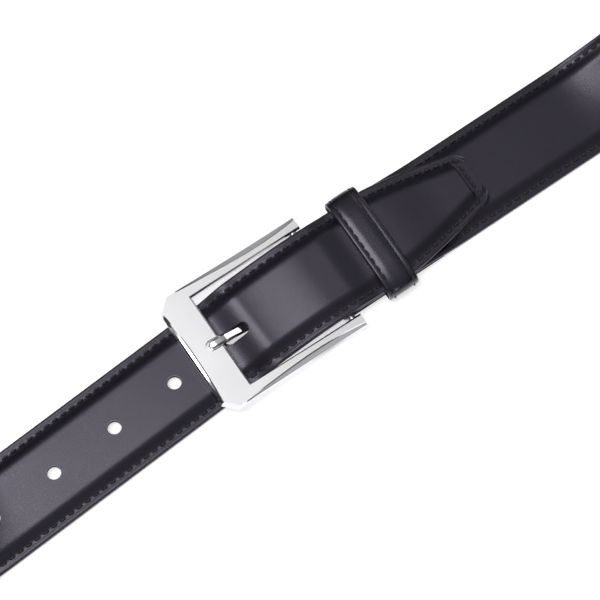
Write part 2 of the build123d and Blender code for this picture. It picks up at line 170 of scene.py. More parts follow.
# %% The tail's plan, height and width
def tail_plan(x):
    t = min(1.0, max(0.0, (x - LEAN_START) / (LEAN_END - LEAN_START)))
    eased = 0.5 - t + t ** 3 - t ** 4 / 2
    y = -math.tan(LEAN) * ((LEAN_END - LEAN_START) * eased + max(0.0, LEAN_START - x))
    return y, LEAN * (1 - smooth(t))


def tail_height(x):
    if x < -29.0:
        return 3.9 * smooth((x + 43.5) / 14.5)
    if x < -3.0:
        return mix(3.9, 5.5, smooth((x + 29.0) / 26.0))
    if x < 4.0:
        return 5.5
    if x < 13.0:
        return mix(5.5, 4.4, smooth((x - 4.0) / 9.0))
    return mix(4.4, 3.75, smooth((x - 30.0) / 20.0))


def tail_half(x):
    if x < TAPER_START:
        return STRAP_HALF
    if x < TIP_START:
        return mix(STRAP_HALF, TIP_HALF, ((x - TAPER_START) / (TIP_START - TAPER_START)) ** 1.25)
    t = min(1.0, (x - TIP_START) / (TAIL_END - TIP_START))
    return TIP_HALF - TIP_CORNER * (1 - math.sqrt(max(0.0, 1 - t ** 2)))


# %% [markdown]
# A station is one cut across the strap: where it is, which way is across and which way is up
# through the leather, how wide the strap is there and how far the core lifts it.

# %% Stations along the strap
class Station:
    def __init__(self, x, y, z, heading=0.0, roll=0.0, half=STRAP_HALF, lift=1.0):
        left = Vector((-math.sin(heading), math.cos(heading), 0))
        self.origin = Vector((x, y, z))
        self.across = left * math.cos(roll) + Vector((0, 0, 1)) * math.sin(roll)
        self.up = Vector((0, 0, 1)) * math.cos(roll) - left * math.sin(roll)
        self.half, self.lift = half, lift

    def at(self, u, v):
        return (self.origin + self.across * u + self.up * v) * MM


def steps(a, b, n):
    return [mix(a, b, i / n) for i in range(n + 1)]


# %% [markdown]
# The stations run in order: the wrap round the heel bar, the rise over it, the loop, the tail
# and the tip. The left side turns by just the radius that brings it to the same back line.

# %% Laying out the stations
right = half_loop(BELT_CENTRE + FRONT_HALF, 0, 0, TURN_R)
left_x = BELT_CENTRE - FRONT_HALF
left_y, left_lean = tail_plan(left_x)
back_y = half_loop(BELT_CENTRE + FRONT_HALF, 0, 0, TURN_R, 20, 1)[-1][1]
left_r = radius_to_reach(-left_x, left_y, -left_lean, right[-1][1])
left_half = half_loop(-left_x, left_y, -left_lean, left_r)
left = [(-x, y, 2 * math.pi - h, r) for x, y, h, r in reversed(left_half)]

main = []
for x in steps(SETTLE_START, SETTLE_END, 14):
    settled = smooth((x - SETTLE_START) / (SETTLE_END - SETTLE_START))
    main.append(Station(x, 0, FOLD_LIFT - FOLD_LIFT * settled, lift=settled))
main += [Station(x, 0, 0) for x in steps(SETTLE_END, BELT_CENTRE + FRONT_HALF, 20)[1:-1]]
main += [Station(x, y, STRAP_HALF * math.sin(r), h, r) for x, y, h, r in right]
for t in steps(0, 1, 24)[1:-1]:
    main.append(Station(mix(right[-1][0], left[0][0], t), back_y, STRAP_HALF, math.pi, math.pi / 2))
main += [Station(x, y, STRAP_HALF * math.sin(r), h, r) for x, y, h, r in left]

tail_x = steps(left_x, LEAN_START, 60)[1:] + steps(LEAN_START, TIP_START, 120)[1:]
tail = []
for x in tail_x:
    y, heading = tail_plan(x)
    tail.append(Station(x, y, tail_height(x), heading, 0, tail_half(x), 1.0))
tip = []
for i in range(1, 15):
    x = mix(TIP_START, TAIL_END - 0.02, math.sin(math.pi / 2 * i / 14))
    tip.append(Station(x, 0, tail_height(x), 0, 0, tail_half(x), 1 - smooth((x - TIP_START + 2.5) / 4.5)))

HEEL_RISE = [(0, 4.3), (2, 4.26), (4, 4.1), (6.5, 3.7), (9, 3.3), (11, 3.16), (16, 3.15), (22, 3.15),
             (27, 3.15)]
start = [Station(x, 0, z - FACE_BASE, lift=0.0) for x, z in HEEL_RISE]
wrap = []
for x in steps(RETURN_END, 2, 8):
    cut = Station(x, 0, 0, lift=0.0)
    cut.up = Vector((0, 0, -1))
    cut.origin = Vector((x, 0, mix(1.1, 0.95, x / RETURN_END) + FACE_BASE))
    wrap.append(cut)
for i in range(13):
    turn = math.pi * i / 13
    cut = Station(0, 0, 0, lift=0.0)
    cut.up = Vector((-math.sin(turn), 0, -math.cos(turn)))
    cut.origin = Vector((0, 0, BAR_Z)) + cut.up * (WRAP_IN - FACE_BASE)
    wrap.append(cut)
print("stations", len(wrap), len(start), len(main), len(tail), len(tip))

# %% [markdown]
# Each layer is a closed outline carried along the stations. One helper makes any of them: it
# joins ring to ring and closes both ends.

# %% Ribbon helper
def finish_mesh(name, mesh, material, smooth_angle=35):
    obj = bpy.data.objects.new(name, mesh)
    bpy.context.scene.collection.objects.link(obj)
    if material:
        mesh.materials.clear()
        mesh.materials.append(material)
    mesh.shade_smooth()
    mesh.set_sharp_from_angle(angle=math.radians(smooth_angle))
    return obj


def outward(mesh):
    b = bmesh.new()
    b.from_mesh(mesh)
    bmesh.ops.recalc_face_normals(b, faces=b.faces)
    b.to_mesh(mesh)
    b.free()


def ribbon(name, stations, outline):
    points, faces = [], []
    count = len(outline(stations[0]))
    for cut in stations:
        points += [cut.at(u, v) for u, v in outline(cut)]
    for i in range(len(stations) - 1):
        a, b = i * count, (i + 1) * count
        for k in range(count):
            j = (k + 1) % count
            faces.append((a + k, a + j, b + j, b + k))
    faces.append(tuple(range(count - 1, -1, -1)))
    last = (len(stations) - 1) * count
    faces.append(tuple(range(last, last + count)))
    mesh = bpy.data.meshes.new(name)
    mesh.from_pydata(points, [], faces)
    outward(mesh)
    print(name, "ring of", count, "points,", len(faces), "faces")
    return mesh


# %% [markdown]
# Holes and slots are cut with closed shapes, as a punch would. The round ones on the heel bar's
# line serve for the pin hole and for the prong's eye.

# %% Cutting shapes
def cut_with(mesh, cutters, name):
    """Cut closed shapes out of a mesh."""
    body = bpy.data.objects.new(name + "_blank", mesh)
    tool_mesh = bpy.data.meshes.new(name + "_tool")
    joined = bmesh.new()
    for cutter in cutters:
        joined.from_mesh(cutter)
    joined.to_mesh(tool_mesh)
    joined.free()
    tool = bpy.data.objects.new(name + "_tool", tool_mesh)
    for o in (body, tool):
        bpy.context.scene.collection.objects.link(o)
    step = body.modifiers.new("cut", "BOOLEAN")
    step.operation, step.solver, step.object = "DIFFERENCE", "EXACT", tool
    step.use_self = False
    depsgraph = bpy.context.evaluated_depsgraph_get()
    result = bpy.data.meshes.new_from_object(body.evaluated_get(depsgraph))
    bpy.data.objects.remove(body)
    bpy.data.objects.remove(tool)
    print(name, "cut:", len(mesh.polygons), "->", len(result.polygons), "faces")
    return result


def slot_cutter(x, y, z0, z1, half_length, half_width, points=40):
    """An upright slot, or a round hole where the two half sizes are the same."""
    ring = []
    for i in range(points):
        a = 2 * math.pi * i / points
        du = math.cos(a) * half_width
        if half_length > half_width:
            du += math.copysign(half_length - half_width, math.cos(a))
        dv = math.sin(a) * half_width
        ring.append((x + du, y + dv))
    mesh = bpy.data.meshes.new("cutter")
    low = [(p[0] * MM, p[1] * MM, z0 * MM) for p in ring]
    high = [(p[0] * MM, p[1] * MM, z1 * MM) for p in ring]
    n = points
    faces = [(k, (k + 1) % n, n + (k + 1) % n, n + k) for k in range(n)]
    mesh.from_pydata(low + high, [], faces + [tuple(range(n - 1, -1, -1)), tuple(range(n, 2 * n))])
    outward(mesh)
    return mesh


def bar_cylinder(name, radius, half, segments=48):
    """A closed cylinder on the heel bar's line."""
    mesh = bpy.data.meshes.new(name)
    b = bmesh.new()
    bmesh.ops.create_cone(b, cap_ends=True, segments=segments, radius1=radius * MM,
                          radius2=radius * MM, depth=2 * half * MM)
    bmesh.ops.rotate(b, verts=b.verts, matrix=Matrix.Rotation(math.pi / 2, 3, "X"))
    bmesh.ops.translate(b, verts=b.verts, vec=(0, 0, BAR_Z * MM))
    b.to_mesh(mesh)
    b.free()
    return mesh


# %% [markdown]
# The look of leather, metal and thread comes from node trees. A small class wraps a socket, so
# that shader maths reads like ordinary sums.

# %% Shader helper
class Wire:
    def __init__(self, tree, socket):
        self.tree, self.socket = tree, socket

    def _math(self, operation, other, flip=False):
        node = self.tree.nodes.new("ShaderNodeMath")
        node.operation = operation
        for place, value in enumerate((other, self) if flip else (self, other)):
            if isinstance(value, Wire):
                self.tree.links.new(value.socket, node.inputs[place])
            else:
                node.inputs[place].default_value = value
        return Wire(self.tree, node.outputs[0])

    def __add__(self, other):
        return self._math("ADD", other)

    def __mul__(self, other):
        return self._math("MULTIPLY", other)

    def __sub__(self, other):
        return self._math("SUBTRACT", other)

    def __rsub__(self, other):
        return self._math("SUBTRACT", other, flip=True)

    def __truediv__(self, other):
        return self._math("DIVIDE", other)

    def __rtruediv__(self, other):
        return self._math("DIVIDE", other, flip=True)

    __radd__ = __add__
    __rmul__ = __mul__

    def clamp(self):
        limited = self._math("ADD", 0.0)
        limited.socket.node.use_clamp = True
        return limited

    def ramp(self, low, high):
        """0 below low, 1 above high."""
        return ((self - low) / (high - low)).clamp()


class Finish:
    """A material with a Principled shader and helpers that add nodes."""

    def __init__(self, name):
        self.material = bpy.data.materials.new(name)
        self.material.use_nodes = True
        self.tree = self.material.node_tree
        self.shader = self.tree.nodes["Principled BSDF"]

    def node(self, kind, settings=None, **sockets):
        made = self.tree.nodes.new(kind)
        for key, value in (settings or {}).items():
            setattr(made, key, value)
        for key, value in sockets.items():
            socket = made.inputs[key.replace("_", " ")]
            if isinstance(value, Wire):
                self.tree.links.new(value.socket, socket)
            else:
                socket.default_value = value
        return made

    def out(self, made, name=0):
        return Wire(self.tree, made.outputs[name])

    def place(self):
        return self.out(self.node("ShaderNodeTexCoord"), "Object")

    def noise(self, scale, detail, rough, where):
        made = self.node("ShaderNodeTexNoise", None, Vector=where, Scale=scale, Detail=detail,
                         Roughness=rough)
        return self.out(made, "Fac")

    def blend(self, factor, a, b):
        made = self.node("ShaderNodeMix", {"data_type": "RGBA"})
        for index, value in ((0, factor), (6, a), (7, b)):
            if isinstance(value, Wire):
                self.tree.links.new(value.socket, made.inputs[index])
            else:
                made.inputs[index].default_value = value
        return Wire(self.tree, made.outputs[2])

    def bump(self, height, strength, distance):
        return self.out(self.node("ShaderNodeBump", None, Height=height, Strength=strength, Distance=distance))

    def set(self, **sockets):
        for key, value in sockets.items():
            socket = self.shader.inputs[key.replace("_", " ")]
            if isinstance(value, Wire):
                self.tree.links.new(value.socket, socket)
            else:
                socket.default_value = value
        return self


# %% [markdown]
# The face leather is black calf with a fine pebble grain and a polished top coat. Two sizes of
# cells make the grain, slow noise makes the gloss uneven, as on real finished hide.

# %% Leathers
def leather(name, dark, light, rough, grain, coat, bump_mm):
    f = Finish(name)
    where = f.place()
    voronoi = f.node("ShaderNodeTexVoronoi", {"feature": "DISTANCE_TO_EDGE"}, Vector=where, Scale=grain)
    cells = f.out(voronoi, "Distance")
    fine = f.noise(grain * 2.6, 4.0, 0.6, where)
    slow = f.noise(28.0, 3.0, 0.5, where)
    pebble = cells.ramp(0.0, 0.28)
    f.set(
        Base_Color=f.blend(pebble * 0.6 + slow * 0.4, dark, light),
        Roughness=rough + (slow - 0.5) * 0.12 + (1 - pebble) * 0.10,
        Normal=f.bump(pebble * 0.8 + fine * 0.35, 0.35, bump_mm * MM),
        Coat_Weight=coat,
        Coat_Roughness=0.22,
        Specular_IOR_Level=0.5,
        Specular_Tint=(0.84, 0.76, 1.0, 1),
    )
    return f.material


face_leather = leather("face_leather", (0.0022, 0.0018, 0.0040, 1), (0.0085, 0.0070, 0.0130, 1),
                       rough=0.29, grain=1500.0, coat=0.22, bump_mm=0.045)
keeper_leather = leather("keeper_leather", (0.0030, 0.0026, 0.0050, 1), (0.0080, 0.0070, 0.0120, 1),
                         rough=0.26, grain=1500.0, coat=0.35, bump_mm=0.03)
lining_leather = leather("lining_leather", (0.016, 0.014, 0.015, 1), (0.035, 0.031, 0.033, 1),
                         rough=0.62, grain=1100.0, coat=0.0, bump_mm=0.06)
core_board = leather("core_board", (0.020, 0.016, 0.014, 1), (0.045, 0.036, 0.030, 1),
                     rough=0.85, grain=700.0, coat=0.0, bump_mm=0.10)

# %% [markdown]
# Waxed thread is two or three plies twisted together. Slanted stripes round each stitch give
# the ply.

# %% Thread
def thread_finish():
    f = Finish("waxed_thread")
    where = f.place()
    wave = f.node("ShaderNodeTexWave", {"bands_direction": "DIAGONAL"}, Vector=where, Scale=900.0,
                  Distortion=0.6)
    ply = f.out(wave, "Fac")
    f.set(
        Base_Color=f.blend(ply, (0.004, 0.004, 0.006, 1), (0.022, 0.020, 0.028, 1)),
        Roughness=0.48 + ply * 0.1,
        Normal=f.bump(ply, 0.5, 0.08 * MM),
    )
    return f.material


waxed_thread = thread_finish()

# %% [markdown]
# The buckle is plated metal. Its flat top is satin, brushed along the front bar; its bevels
# and the prong are polished. Stretching the noise along Y makes the brushing.

# %% Metals
def metal(name, colour, rough, brushed):
    f = Finish(name)
    where = f.place()
    lines = f.out(f.node("ShaderNodeMapping", None, Vector=where, Scale=(9000.0, 260.0, 9000.0)))
    brush = f.noise(1.0, 3.0, 0.6, lines)
    smudge = f.noise(60.0, 3.0, 0.5, where)
    f.set(
        Base_Color=f.blend(smudge, tuple(c * 0.94 for c in colour) + (1,), colour + (1,)),
        Metallic=1.0,
        Roughness=rough + (brush - 0.5) * brushed + (smudge - 0.5) * 0.05,
    )
    if brushed > 0.05:
        f.set(Normal=f.bump(brush, 0.12, 0.01 * MM))
    return f.material


satin_metal = metal("satin_metal", (0.86, 0.85, 0.87), 0.34, 0.18)
polished_metal = metal("polished_metal", (0.80, 0.79, 0.82), 0.13, 0.02)
plain_steel = metal("plain_steel", (0.55, 0.55, 0.56), 0.35, 0.10)

# %% [markdown]
# The face leather. Its outline has a rolled edge, a shallow channel where the needle ran, and
# the raised middle that the core makes. A raised cosine gives the shoulder its soft fall.

# %% Face leather
def shoulder(u, cut):
    """How far the core lifts the leather at u across the strap, 0 to 1."""
    inset = STRAP_HALF - cut.half
    fall = 1 - smooth((abs(u) - (10.6 - inset)) / 3.9)
    crown = 1 - 0.10 * (u / max(1.0, cut.half)) ** 2
    return cut.lift * fall * crown


def face_outline(cut):
    half, row = cut.half, ROW_AT - (STRAP_HALF - cut.half)
    top, bottom = [], []
    for i in range(33):
        t = -1 + 2 * i / 32
        u = (half - 0.5) * math.copysign(abs(t) ** 0.85, t)
        channel = 0.32 * math.exp(-((abs(u) - row) / 0.70) ** 2)
        top.append((u, FACE_BASE + 1.0 + RISE * shoulder(u, cut) - channel))
    for i in range(15):
        u = (half - 0.25) * (1 - 2 * i / 14)
        bottom.append((u, FACE_BASE + RISE * shoulder(u, cut)))
    edge = [(half - 0.18, FACE_BASE + 0.86), (half - 0.02, FACE_BASE + 0.55), (half, FACE_BASE + 0.25),
            (half - 0.08, FACE_BASE + 0.06)]
    return top + edge + bottom + [(-u, v) for u, v in reversed(edge)]


strap_line = start + main + tail + tip
hole_cutters = []
for x in HOLES:
    hole_cutters.append(slot_cutter(x, tail_plan(x)[0], -3, 12, HOLE_R, HOLE_R))
prong_slot = slot_cutter(-36.6, tail_plan(-37.2)[0] * 0.5, -1, 12, *PRONG_SLOT_HALF)
fold_slot = slot_cutter(HEEL_SLOT_X, 0, -1, 5.42, *HEEL_SLOT_HALF)

face_mesh = ribbon("strap_face_look", wrap + strap_line, face_outline)
face_mesh = cut_with(face_mesh, hole_cutters + [prong_slot, fold_slot], "strap_face_look")
strap_face = finish_mesh("strap_face_look", face_mesh, face_leather)

# %% [markdown]
# The lining and the core follow the same line. The lining's channel takes the bobbin thread.

# %% Lining and core
def lining_outline(cut):
    half, row = cut.half - 0.05, ROW_AT - (STRAP_HALF - cut.half)
    under = []
    for i in range(25):
        u = (half - 0.12) * (1 - 2 * i / 24)
        under.append((u, 0.24 * math.exp(-((abs(u) - row) / 0.8) ** 2)))
    over = [(-half + 0.1, LINING), (half - 0.1, LINING), (half, LINING - 0.15), (half, 0.2)]
    return over + under + [(-half, 0.2), (-half, LINING - 0.15)]


def core_outline(cut):
    reach = 13.6 - (STRAP_HALF - cut.half)
    top = []
    for i in range(17):
        u = reach * (-1 + 2 * i / 16)
        top.append((u, FACE_BASE + 0.02 + max(0.02, RISE * shoulder(u, cut) - 0.06)))
    return top + [(reach, FACE_BASE), (-reach, FACE_BASE)]


lining_line = [Station(x, 0, FOLD_LIFT, lift=0.0) for x in steps(8, 29, 8)] + main + tail + tip
lining_mesh = ribbon("strap_lining_look", lining_line, lining_outline)
lining_slot = slot_cutter(HEEL_SLOT_X, 0, -1, 4.0, *HEEL_SLOT_HALF)
lining_mesh = cut_with(lining_mesh, hole_cutters + [prong_slot, lining_slot], "strap_lining_look")
strap_lining = finish_mesh("strap_lining_look", lining_mesh, lining_leather)

core_mesh = ribbon("strap_core_look", main[14:] + tail, core_outline)
core_mesh = cut_with(core_mesh, hole_cutters + [prong_slot], "strap_core_look")
strap_core = finish_mesh("strap_core_look", core_mesh, core_board)

# %% [markdown]
# Stitches repeat along a path, which is work for Geometry Nodes: the path is resampled at the
# stitch pitch, a small spindle is set on every point along the path's tangent, and the result
# is made one plain mesh.

# %% Stitch tree
def stitch_tree():
    tree = bpy.data.node_groups.new("stitch_row", "GeometryNodeTree")
    face = tree.interface
    face.new_socket("Geometry", in_out="INPUT", socket_type="NodeSocketGeometry")
    for name in ("Pitch", "Stitch length", "Thread radius"):
        face.new_socket(name, in_out="INPUT", socket_type="NodeSocketFloat")
    face.new_socket("Finish", in_out="INPUT", socket_type="NodeSocketMaterial")
    face.new_socket("Geometry", in_out="OUTPUT", socket_type="NodeSocketGeometry")
    new, link = tree.nodes.new, tree.links.new
    given, result = new("NodeGroupInput"), new("NodeGroupOutput")
    curve, spaced = new("GeometryNodeMeshToCurve"), new("GeometryNodeResampleCurve")
    spaced.mode = "LENGTH"
    ball, shape = new("GeometryNodeMeshUVSphere"), new("ShaderNodeCombineXYZ")
    ball.inputs["Segments"].default_value = 8
    ball.inputs["Rings"].default_value = 6
    ball.inputs["Radius"].default_value = 1.0
    half = new("ShaderNodeMath")
    half.operation = "MULTIPLY"
    half.inputs[1].default_value = 0.5
    sized, turn = new("GeometryNodeTransform"), new("FunctionNodeAlignRotationToVector")
    tangent = new("GeometryNodeInputTangent")
    turn.axis = "X"
    place, real = new("GeometryNodeInstanceOnPoints"), new("GeometryNodeRealizeInstances")
    soft, paint = new("GeometryNodeSetShadeSmooth"), new("GeometryNodeSetMaterial")
    link(given.outputs["Geometry"], curve.inputs[0])
    link(curve.outputs[0], spaced.inputs["Curve"])
    link(given.outputs["Pitch"], spaced.inputs["Length"])
    link(given.outputs["Stitch length"], half.inputs[0])
    link(half.outputs[0], shape.inputs["X"])
    link(given.outputs["Thread radius"], shape.inputs["Y"])
    link(given.outputs["Thread radius"], shape.inputs["Z"])
    link(ball.outputs["Mesh"], sized.inputs["Geometry"])
    link(shape.outputs[0], sized.inputs["Scale"])
    link(spaced.outputs[0], place.inputs["Points"])
    link(sized.outputs[0], place.inputs["Instance"])
    link(tangent.outputs[0], turn.inputs["Vector"])
    link(turn.outputs[0], place.inputs["Rotation"])
    link(place.outputs[0], real.inputs[0])
    link(real.outputs[0], soft.inputs[0])
    link(soft.outputs[0], paint.inputs["Geometry"])
    link(given.outputs["Finish"], paint.inputs["Material"])
    link(paint.outputs[0], result.inputs[0])
    return tree


STITCHES = stitch_tree()


def stitch_rows(name, paths, pitch, length, radius):
    """Lay stitches along paths of points and return one plain mesh object."""
    mesh = bpy.data.meshes.new(name + "_path")
    points, edges = [], []
    for path in paths:
        first = len(points)
        points += path
        edges += [(first + i, first + i + 1) for i in range(len(path) - 1)]
    mesh.from_pydata(points, edges, [])
    guide = bpy.data.objects.new(name + "_path", mesh)
    bpy.context.scene.collection.objects.link(guide)
    step = guide.modifiers.new("stitches", "NODES")
    step.node_group = STITCHES
    sizes = {"Pitch": pitch * MM, "Stitch length": length * MM, "Thread radius": radius * MM,
             "Finish": waxed_thread}
    for item in STITCHES.interface.items_tree:
        if item.in_out == "INPUT" and item.name in sizes:
            step[item.identifier] = sizes[item.name]
    made = bpy.data.meshes.new_from_object(guide.evaluated_get(bpy.context.evaluated_depsgraph_get()))
    bpy.data.objects.remove(guide)
    obj = bpy.data.objects.new(name, made)
    bpy.context.scene.collection.objects.link(obj)
    print(name, len(made.polygons), "faces")
    return obj

# %% [markdown]
# The strap's two rows run 2.6 mm in from the edges and join round the tip. The bobbin thread
# makes the same rows underneath.

# %% Strap stitches
def row_path(height):
    runs = main + tail
    one, other = [], []
    for cut in runs:
        row = ROW_AT - (STRAP_HALF - cut.half)
        one.append(cut.at(row, height))
        other.append(cut.at(-row, height))
    turn = []
    end_x, row = TAIL_END - 2.6, TIP_HALF - 2.6
    for i in range(1, 9):
        a = math.pi / 2 * i / 9
        turn.append((end_x - 2.4 + 2.4 * math.sin(a), row - 2.4 + 2.4 * math.cos(a)))
    turn += [(end_x, row - 2.4), (end_x, 0), (end_x, 2.4 - row)]
    turn += [(x, -y) for x, y in reversed(turn[:8])]
    z = tail_height(TAIL_END)
    bend = [Vector((x, y, z + height)) * MM for x, y in turn]
    return one + bend + other[::-1]


face_thread = stitch_rows("strap_thread_look", [row_path(FACE_BASE + 1.02)], 3.6, 2.6, 0.50)
bobbin_thread = stitch_rows("strap_bobbin_look", [row_path(0.20)], 3.6, 2.9, 0.24)

# %% [markdown]
# The keeper is a narrow band of face leather with its own lining, crowned between two stitched
# rows. Its outline round the strap is rounded by cutting the corners of a few points again and
# again.

# %% Keeper
KEEPER_X0, KEEPER_X1 = 14.8, 26.8
OUTSIDE = [(0, 10.15), (6, 10.12), (12, 9.95), (18.0, 8.9), (20.65, 6.9), (20.65, 2.2),
           (19.8, 1.15), (10, 1.15), (0, 1.15)]
FACE_INSIDE = [(0, 9.0), (6, 8.98), (11.8, 8.85), (17.4, 7.7), (19.5, 6.2), (19.5, 2.1),
               (19.1, 1.6), (10, 1.6), (0, 1.6)]
LINING_INSIDE = [(0, 8.2), (6, 8.18), (11.6, 8.1), (17.0, 7.0), (18.7, 5.9), (18.7, 2.4),
                 (18.4, 2.05), (10, 2.05), (0, 2.05)]


def rounded(half_outline, times=3):
    ring = half_outline[:-1] + [(-u, v) for u, v in reversed(half_outline)][:-1]
    for _ in range(times):
        cut = []
        for i, (u, v) in enumerate(ring):
            w = ring[(i + 1) % len(ring)]
            cut += [(mix(u, w[0], 0.25), mix(v, w[1], 0.25)), (mix(u, w[0], 0.75), mix(v, w[1], 0.75))]
        ring = cut
    return ring


def keeper_band(name, outside, inside, crown, material):
    outer, inner = rounded(outside), rounded(inside)
    n = len(outer)
    profile = [(0.0, 0.85), (0.0, 0.25), (0.012, 0.08), (0.04, 0.0)]
    profile += [(t, 0.0) for t in (0.09, 0.13, 0.165, 0.20, 0.27, 0.38, 0.5, 0.62, 0.73, 0.80,
                                   0.835, 0.87, 0.91)]
    profile += [(0.96, 0.0), (0.988, 0.08), (1.0, 0.25), (1.0, 0.85), (0.97, 1.0), (0.5, 1.0), (0.03, 1.0)]
    points, faces = [], []
    for (y0, z0), (y1, z1) in zip(outer, inner):
        for t, depth in profile:
            swell = 0.0
            if depth == 0.0:
                middle = smooth((t - 0.16) / 0.14) * smooth((0.84 - t) / 0.14)
                swell = crown * middle * smooth((z0 - 2) / 3)
                swell -= 0.10 * (math.exp(-((t - 0.165) / 0.03) ** 2) + math.exp(-((t - 0.835) / 0.03) ** 2))
            out = Vector((0, y0 - y1, z0 - z1)).normalized()
            p = Vector((mix(KEEPER_X0, KEEPER_X1, t), mix(y0, y1, depth), mix(z0, z1, depth))) + out * swell
            points.append(p * MM)
    m = len(profile)
    for i in range(n):
        for k in range(m):
            a, b = i * m, ((i + 1) % n) * m
            faces.append((a + k, a + (k + 1) % m, b + (k + 1) % m, b + k))
    mesh = bpy.data.meshes.new(name)
    mesh.from_pydata(points, [], faces)
    outward(mesh)
    print(name, len(faces), "faces")
    return finish_mesh(name, mesh, material, 50)


keeper_face = keeper_band("keeper_face_look", OUTSIDE, FACE_INSIDE, 0.28, keeper_leather)
lining_outside = [(u * 0.9975, v - 0.05 if v > 3 else v + 0.03) for u, v in FACE_INSIDE]
keeper_lining = keeper_band("keeper_lining_look", lining_outside, LINING_INSIDE, 0.0, lining_leather)


def keeper_row(t):
    ring = [p for p in rounded(OUTSIDE) if p[1] > 4.2]
    ring = sorted(ring, key=lambda p: math.atan2(p[1] - 3, p[0]))
    return [Vector((mix(KEEPER_X0, KEEPER_X1, t), y, z - 0.02)) * MM for y, z in ring]


keeper_thread_front = stitch_rows("keeper_thread_front_look", [keeper_row(0.165)], 3.3, 2.6, 0.38)
keeper_thread_rear = stitch_rows("keeper_thread_rear_look", [keeper_row(0.835)], 3.3, 2.6, 0.38)

# %% [markdown]
# The buckle's frame is one casting: a wide front bar and two arms. Every cut across it has a
# flat top, a long bevel scooped from the outer edge that is widest at mid-length, and a small
# inner bevel. Carrying that cut round a U gives the casting in one closed skin.

# %% Buckle frame
TILT = math.radians(4.2)
THICK = 4.2
ARM_END = 3.0
FRONT_OUT, FRONT_IN = -55.4, -42.9
OUT_HALF, OPEN_HALF = 23.75, 18.6
CORNER = 4.5


def on_frame(x, y, z):
    along = x * math.cos(TILT) + z * math.sin(TILT)
    height = BAR_Z - x * math.sin(TILT) + z * math.cos(TILT)
    return Vector((along, y, height)) * MM


def lens(t):
    return max(0.0, math.sin(math.pi * min(1.0, max(0.0, t)))) ** 0.8


def frame_cuts():
    """Matching points on the U's outer and inner edges, the bevel's width and its scoop, 0 to 1."""
    cuts = []
    arm_start = FRONT_OUT + CORNER
    for x in steps(ARM_END, arm_start, 26):
        t = (ARM_END - x) / (ARM_END - arm_start)
        inner = mix(ARM_END, FRONT_IN, min(1.0, t * 1.02))
        cuts.append(((x, OUT_HALF), (inner, OPEN_HALF), 1.0 + 2.1 * lens(t * 0.94 + 0.06), lens(t)))
    for t in steps(0, 1, 3)[1:-1]:
        corner = (mix(arm_start, FRONT_OUT, t), mix(OUT_HALF, OUT_HALF - CORNER, t))
        cuts.append((corner, (FRONT_IN, OPEN_HALF - 0.2 * t), 0.95, 0.0))
    straight = OUT_HALF - CORNER
    for y in steps(straight, -straight, 30):
        t = (straight - y) / (2 * straight)
        inner = (FRONT_IN, y * (OPEN_HALF - 0.4) / straight)
        cuts.append(((FRONT_OUT, y), inner, 0.9 + 0.9 * lens(t), 0.6 * lens(t)))
    first = [c for c in cuts if c[0][1] > straight + 1e-6]
    cuts += [((a[0], -a[1]), (b[0], -b[1]), w, s) for a, b, w, s in reversed(first)]
    return cuts


def frame_mesh():
    points, faces, satin = [], [], []
    cuts = frame_cuts()
    top, low = THICK / 2, -THICK / 2
    for (ox, oy), (ix, iy), bevel, scoop in cuts:
        span = Vector((ix - ox, iy - oy, 0))
        reach = span.length
        d = span.normalized()
        rim, foot, deep = 0.5 + 0.2 * scoop, bevel - 0.3 - 0.1 * scoop, 0.4 + 0.35 * scoop
        ring = [
            (0.35, low), (0.0, low + 0.35), (0.0, top - deep - 1.0), (rim, top - deep - 0.25),
            (foot, top - deep), (bevel, top), (reach - 0.75, top), (reach - 0.25, top - 0.25),
            (reach, top - 0.8), (reach, low + 0.35), (reach - 0.35, low),
        ]
        points += [on_frame(ox + d.x * r, oy + d.y * r, z) for r, z in ring]
    m = len(ring)
    for i in range(len(cuts) - 1):
        for k in range(m):
            j = (k + 1) % m
            faces.append((i * m + k, i * m + j, (i + 1) * m + j, (i + 1) * m + k))
            satin.append(k == 5)
    faces += [tuple(range(m - 1, -1, -1)), tuple(range((len(cuts) - 1) * m, len(cuts) * m))]
    satin += [False, False]
    mesh = bpy.data.meshes.new("buckle_frame_look")
    mesh.from_pydata(points, [], faces)
    mesh.materials.append(polished_metal)
    mesh.materials.append(satin_metal)
    for face, is_satin in zip(mesh.polygons, satin):
        face.material_index = 1 if is_satin else 0
    outward(mesh)
    return mesh


# %% [markdown]
# The front bar has a notch where the prong's tip rests, and the arms are drilled for the heel bar.

# %% Notch and pin hole
buckle_mesh = frame_mesh()
notch = slot_cutter(FRONT_IN - 1.0, 0, 6.25, 12, 4.7, 2.15)
pin_hole = bar_cylinder("pin_hole", BAR_R, 22.2, segments=32)
buckle_mesh = cut_with(buckle_mesh, [notch, pin_hole], "buckle_frame_look")
buckle_frame = finish_mesh("buckle_frame_look", buckle_mesh, None, 24)

# %% [markdown]
# The prong is a faceted bar, bent up where it passes the hole, with an eye rolled round the
# heel bar. Eight-sided cuts carried along its bent line keep the facets crisp.

# %% Prong
PRONG = [(2.2, 3.1, 1.5, 0.9), (0.5, 2.75, 1.7, 1.2), (-4, 2.65, 1.7, 1.25), (-20, 2.35, 1.7, 1.25),
         (-28, 2.28, 1.7, 1.22), (-32.5, 2.75, 1.7, 1.22), (-36, 4.2, 1.68, 1.22),
         (-39.5, 5.95, 1.66, 1.18), (-42.2, 7.25, 1.62, 1.12), (-44.5, 7.65, 1.55, 1.0),
         (-46.2, 7.72, 1.3, 0.85), (-47.0, 7.7, 0.95, 0.62), (-47.3, 7.66, 0.5, 0.35)]
FACETS = [(0.55, 1.0), (1.0, 0.35), (1.0, -0.8), (0.85, -1.0),
          (-0.85, -1.0), (-1.0, -0.8), (-1.0, 0.35), (-0.55, 1.0)]


